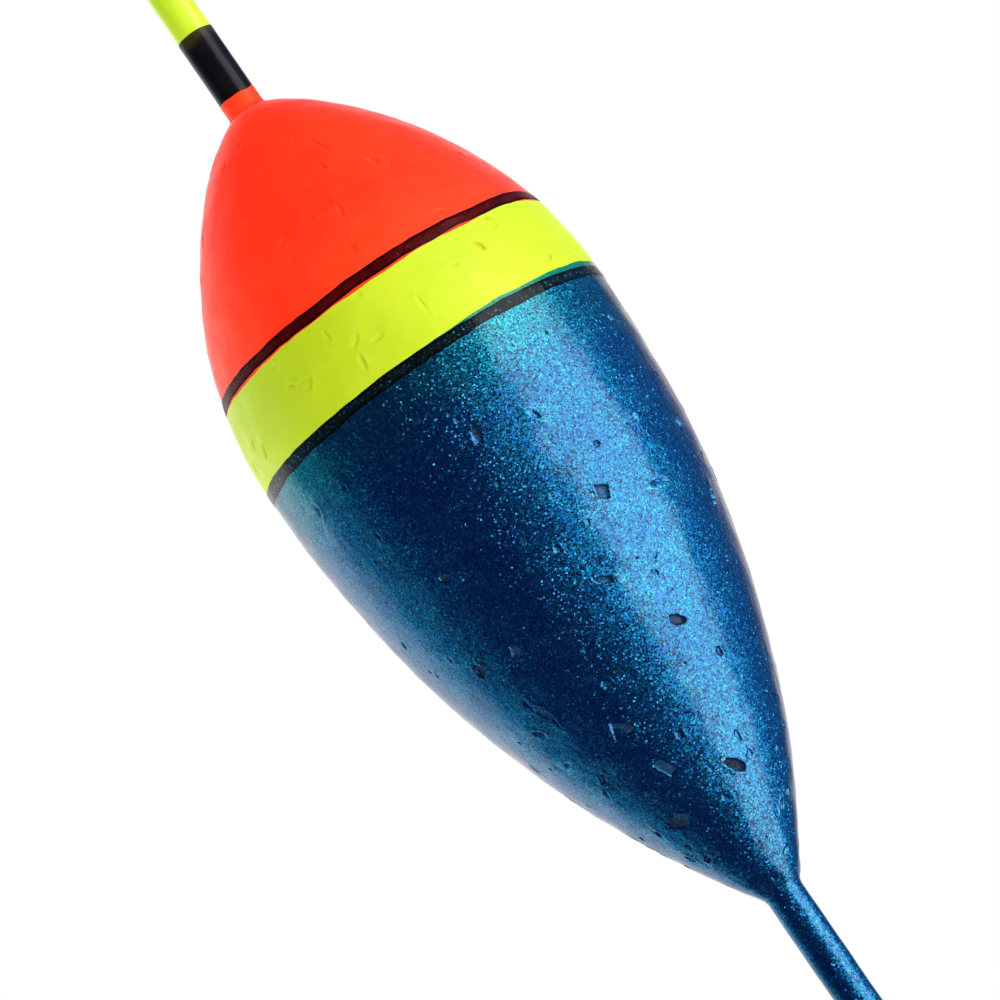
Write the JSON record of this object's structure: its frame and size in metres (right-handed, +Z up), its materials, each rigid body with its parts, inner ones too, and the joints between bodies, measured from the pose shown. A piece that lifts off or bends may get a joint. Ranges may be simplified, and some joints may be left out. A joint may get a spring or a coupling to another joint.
{
  "type": "fishing float",
  "caption": "Pear-shaped fishing float on a through stem, with painted bands, a line eye at the keel's end, and silicone sleeves that slide along the stem.",
  "frame": {"origin": "centre of the hole in the line eye at the keel's lower end", "axes": "+Z up the stem from keel to antenna, as the float stands in water; +Y along the line eye's hole"},
  "size_m": [0.031, 0.031, 0.1999],
  "materials": {
    "foam": "matte",
    "white_undercoat": "matte",
    "orange_paint": "satin",
    "yellow_paint": "satin",
    "blue_flake_paint": "gloss",
    "black_ink": "gloss",
    "antenna_plastic": "satin",
    "glue": "gloss",
    "eye_plastic": "satin",
    "silicone": "satin"
  },
  "bodies": {
    "float": {"foam_body": "foam", "white_undercoat": "white_undercoat", "orange_coat": "orange_paint", "yellow_coat": "yellow_paint", "blue_coat": "blue_flake_paint", "upper_black_line": "black_ink", "lower_black_line": "black_ink", "stem_tube": "antenna_plastic", "stem_glue": "glue", "top_glue_fillet": "glue", "bottom_glue_fillet": "glue", "keel_paint": "blue_flake_paint", "antenna_black_band": "black_ink", "antenna_tip_plug": "antenna_plastic", "line_eye_plug": "eye_plastic"},
    "antenna_sleeve": {"antenna_sleeve": "silicone"},
    "upper_keel_sleeve": {"upper_keel_sleeve": "silicone"},
    "lower_keel_sleeve": {"lower_keel_sleeve": "silicone"}
  },
  "joints": [
    {"name": "antenna_sleeve_slide", "type": "slide", "parent": "float", "child": "antenna_sleeve", "axis": [0, 0, 1], "range_m": [-0.0222, 0.0305]},
    {"name": "upper_keel_sleeve_slide", "type": "slide", "parent": "float", "child": "upper_keel_sleeve", "axis": [0, 0, 1], "range_m": [-0.0085, 0.0104]},
    {"name": "lower_keel_sleeve_slide", "type": "slide", "parent": "float", "child": "lower_keel_sleeve", "axis": [0, 0, 1], "range_m": [-0.014, 0.007]}
  ]
}
